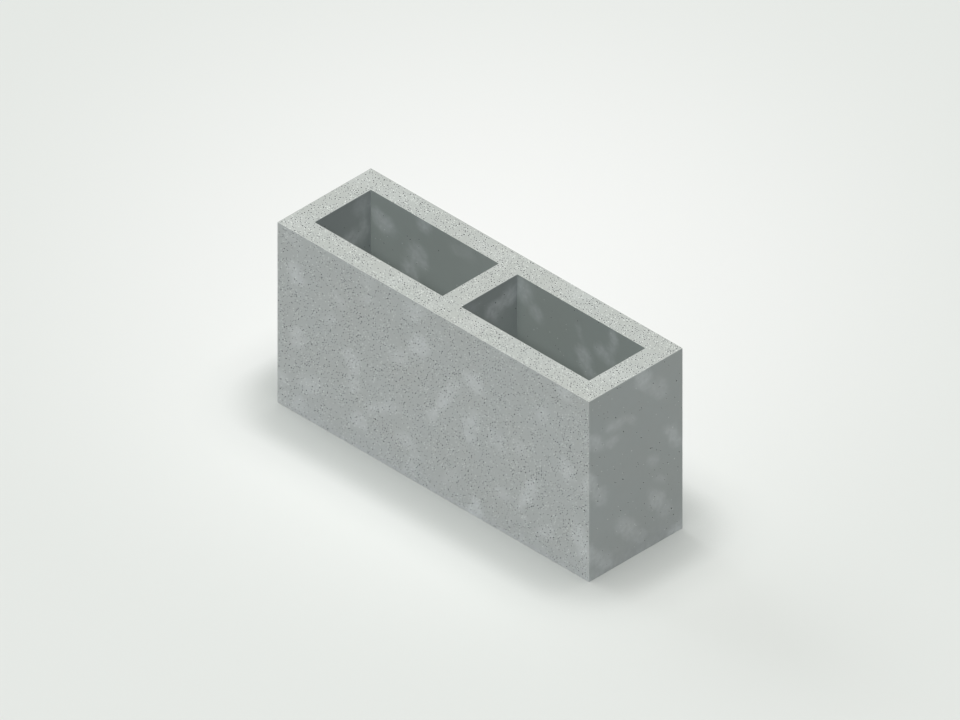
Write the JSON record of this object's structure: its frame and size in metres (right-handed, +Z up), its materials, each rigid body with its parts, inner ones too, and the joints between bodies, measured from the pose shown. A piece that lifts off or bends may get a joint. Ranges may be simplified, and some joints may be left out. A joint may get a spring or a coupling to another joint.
{
  "type": "concrete block",
  "caption": "Rectangular hollow concrete block with through cells between its beds, laid in mortar to build walls.",
  "frame": {"origin": "centre of the bottom bed face, which the block rests on", "axes": "+X along the block's length, +Y across its width, +Z up along the cells, from the bottom bed to the top bed"},
  "size_m": [0.4, 0.12, 0.2],
  "materials": {
    "concrete": "matte"
  },
  "bodies": {
    "root": {"hollow_block": "concrete"}
  },
  "joints": []
}
